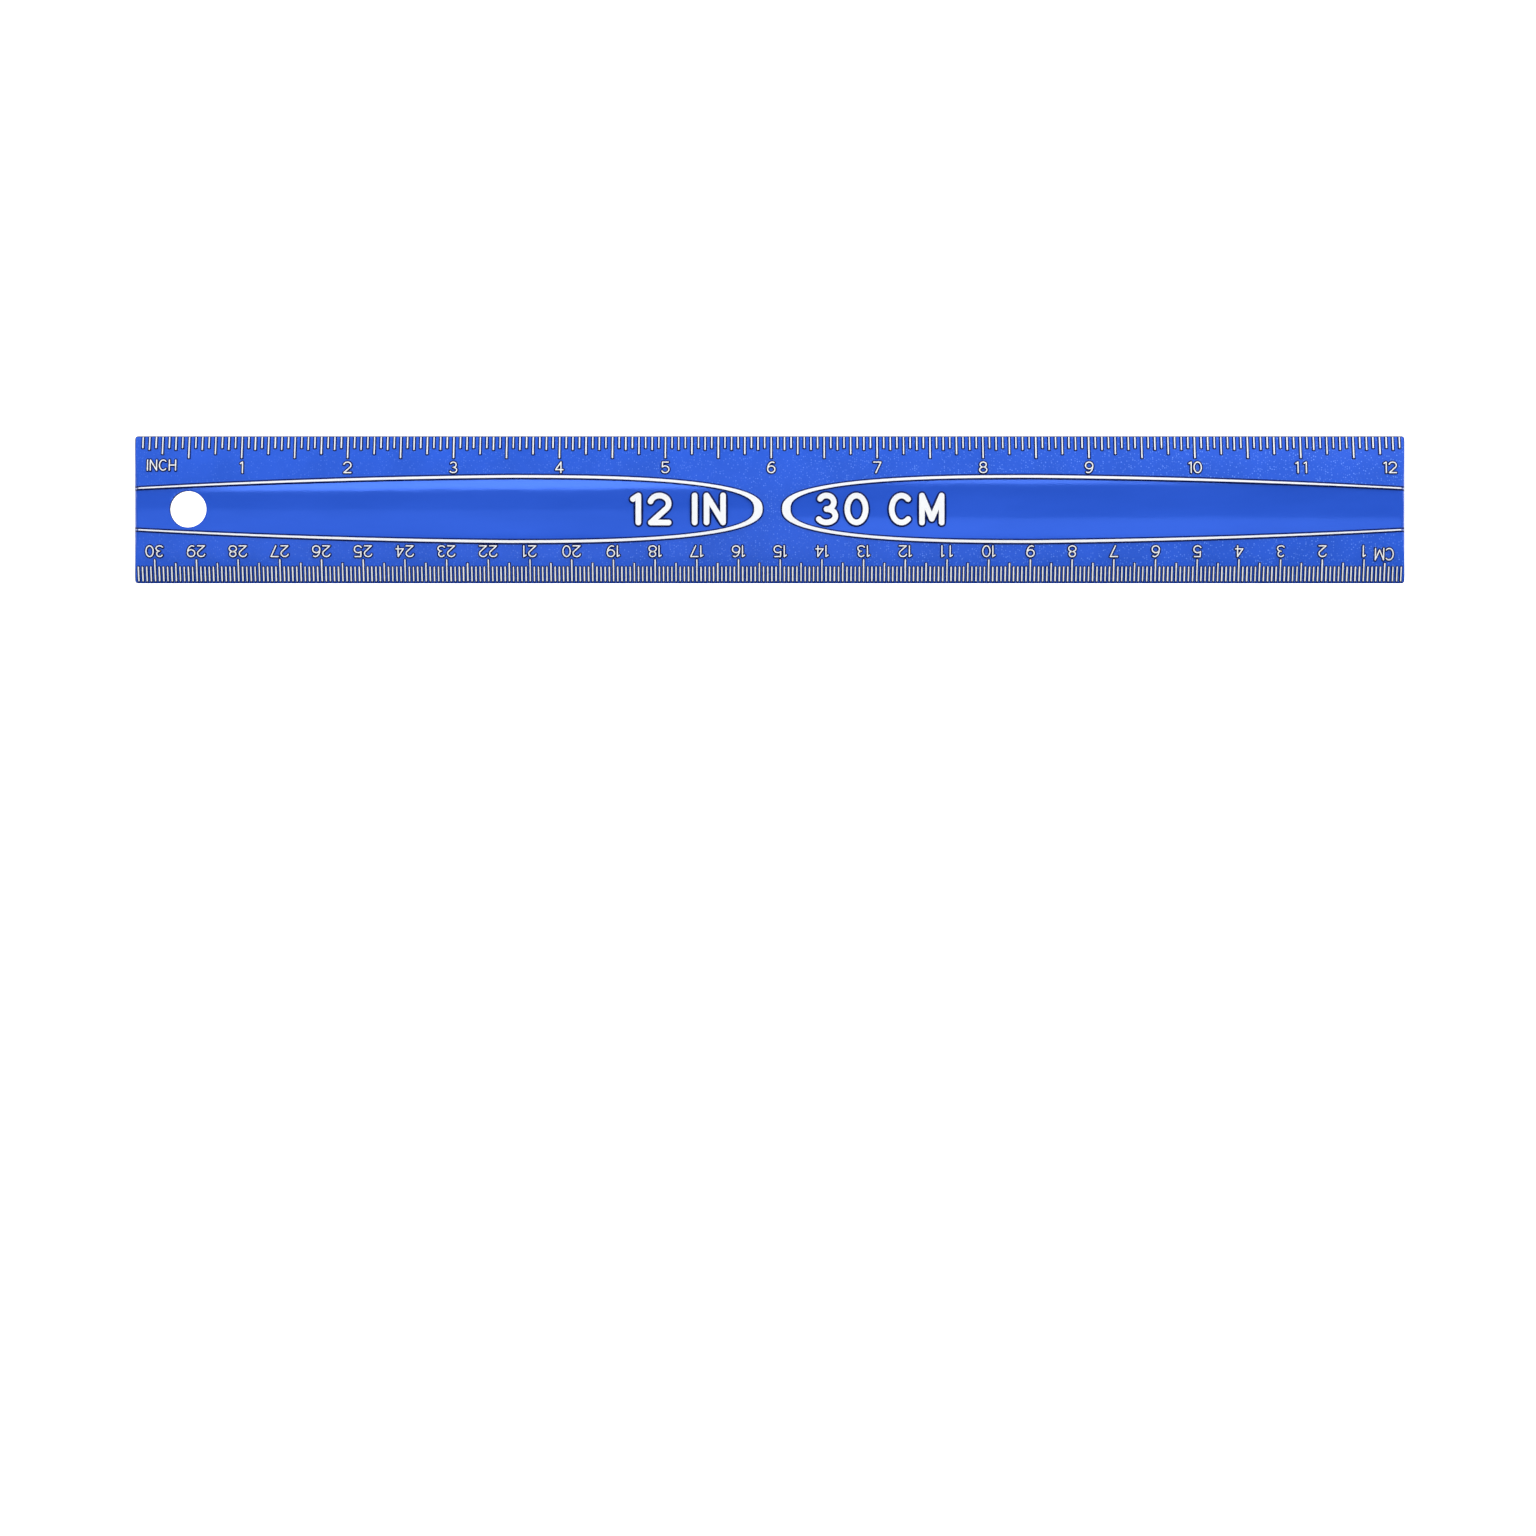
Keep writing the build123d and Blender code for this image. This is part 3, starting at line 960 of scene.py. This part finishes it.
def white_paper():
    """Plain white of the floor, which the camera and the ruler's gloss see at full white."""
    material, tree, shader = node_material("white_paper")
    place = add_node(tree, "ShaderNodeTexCoord", {}).outputs["Object"]
    fibre = noise(tree, place, fibre_waves, fine_detail)
    colour = mixed(tree, fibre, paper_white, paper_white_light)
    tree.links.new(colour, shader.inputs["Base Color"])
    shader.inputs["Roughness"].default_value = paper_roughness
    path = add_node(tree, "ShaderNodeLightPath", {})
    seen = path.outputs["Is Camera Ray"]
    for name in ("Is Glossy Ray", "Is Transmission Ray"):
        seen = maths(tree, "MAXIMUM", seen, path.outputs[name])
    glow = add_node(tree, "ShaderNodeEmission", {"Color": (*full_white, 1), "Strength": seen})
    both = add_node(tree, "ShaderNodeAddShader", {0: shader.outputs[0], 1: glow.outputs[0]})
    output = next(node for node in tree.nodes if node.type == "OUTPUT_MATERIAL")
    tree.links.new(both.outputs[0], output.inputs["Surface"])
    return material


def finished_object(name, bm, materials):
    """A named piece in metres with its finish, and the place of each point kept as it rests."""
    bmesh.ops.scale(bm, verts=bm.verts, vec=(metres,) * 3)
    for face in bm.faces:
        face.smooth = True
    for edge in bm.edges:
        edge.smooth = edge.is_manifold and edge.calc_face_angle(0) < sharp_angle
    mesh = bpy.data.meshes.new(name)
    bm.to_mesh(mesh)
    bm.free()
    for layer in [item for item in mesh.attributes if item.name == "column"]:
        mesh.attributes.remove(layer)
    for material in materials:
        mesh.materials.append(material)
    rest = mesh.attributes.new("rest", "FLOAT_VECTOR", "POINT")
    rest.data.foreach_set("vector", [value for vert in mesh.vertices for value in vert.co])
    piece = bpy.data.objects.new(name, mesh)
    bpy.context.scene.collection.objects.link(piece)
    return piece


def bend_span(number):
    """Where a piece's bend starts and ends. At the ruler's ends it is even about its hinge."""
    low, high, bend = planes[number], planes[number + 1], bends[number]
    first = low if number > 0 else bend - (high - bend)
    last = high if number < piece_count - 1 else bend + (bend - low)
    return (first * metres, 0, 0), (last * metres, 0, 0)


def stands_for(number):
    """The pieces that take the place of one stretch's own solids."""
    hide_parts(f"blade_{number:02d}")
    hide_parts(f"inch_graduations_{number:02d}", f"centimetre_graduations_{number:02d}")


def make_pieces():
    """The moulding, its marks and its foil, in pieces that bend across one joint each."""
    blues = [matte_blue(), polished_blue(), side_shade_blue()]
    white = [stamped_foil()]
    add_ribs()
    add_numerals()
    for number in range(piece_count):
        low, high = planes[number], planes[number + 1]
        body, ribs, film = moulding_shape(low, high), mark_shapes[number], foil_shapes[number]
        if low < hole_x < high:
            body = hang_hole(body)
        append(film, rim_foil_shape(low, high))
        bmesh.ops.recalc_face_normals(ribs, faces=ribs.faces)
        label = f"{number + 1:02d}"
        moulding = finished_object(f"moulding_{label}", body, blues)
        # The marks' blue bodies take the painted shade, which shows as dark outlines round the foil
        marks = finished_object(f"marks_{label}", ribs, blues[painted_shade_finish:])
        foil = finished_object(f"foil_{label}", film, white)
        start, end = bend_span(number)
        for piece in (moulding, marks, foil):
            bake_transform(piece, f"stretch_{label}", f"stretch_{number + 2:02d}", start, end)
        stands_for(number + 1)
    # There is one stretch more than there are pieces, and the last pieces stand for it too
    stands_for(piece_count + 1)


def add_camera():
    """Looks straight down at the photograph's framing."""
    x = (pixels_across / 2 - middle_pixel[0]) / pixels_per_metre
    y = (middle_pixel[1] - pixels_across / 2) / pixels_per_metre
    data = bpy.data.cameras.new("camera")
    data.sensor_width = sensor_width
    data.lens = sensor_width * camera_height / (pixels_across / pixels_per_metre)
    camera = bpy.data.objects.new("camera", data)
    camera.location = (x, y, camera_height + edge_height * metres)
    bpy.context.scene.collection.objects.link(camera)
    bpy.context.scene.camera = camera


def add_floor():
    """A plain white floor, low enough for the ruler held above it to bend down as far as up."""
    bm = bmesh.new()
    bmesh.ops.create_grid(bm, x_segments=1, y_segments=1, size=floor_size / 2)
    bmesh.ops.translate(bm, verts=bm.verts, vec=(0, 0, -floor_depth))
    mesh = bpy.data.meshes.new("floor")
    bm.to_mesh(mesh)
    bm.free()
    mesh.materials.append(white_paper())
    floor = bpy.data.objects.new("floor", mesh)
    bpy.context.scene.collection.objects.link(floor)


def add_lamp(name, place, target, size, power, turn=0):
    """A soft white rectangular lamp that faces a point, its length turned by some degrees."""
    data = bpy.data.lights.new(name, "AREA")
    data.shape = "RECTANGLE"
    data.size, data.size_y = size
    data.energy = power
    lamp = bpy.data.objects.new(name, data)
    lamp.location = place
    aim = (Vector(target) - Vector(place)).to_track_quat("-Z", "Y").to_matrix()
    lamp.rotation_euler = (Matrix.Rotation(math.radians(turn), 3, "Z") @ aim).to_euler()
    bpy.context.scene.collection.objects.link(lamp)


def add_studio():
    """Even soft light, and the lamps whose reflections run along the dishes as broad bands."""
    world = bpy.data.worlds.new("studio")
    world.use_nodes = True
    background = next(node for node in world.node_tree.nodes if node.type == "BACKGROUND")
    background.inputs["Color"].default_value = (*sky_white, 1)
    background.inputs["Strength"].default_value = sky_strength
    bpy.context.scene.world = world
    for name, place, size, power in window_lamps:
        add_lamp(name, place, (0, 0, 0), size, power)
    for name, place, size, power, turn in overhead_lamps:
        add_lamp(name, (*place, overhead_height), (*place, 0), size, power, turn)
    bpy.context.scene.view_settings.view_transform = "Standard"


make_pieces()
add_camera()
add_floor()
add_studio()
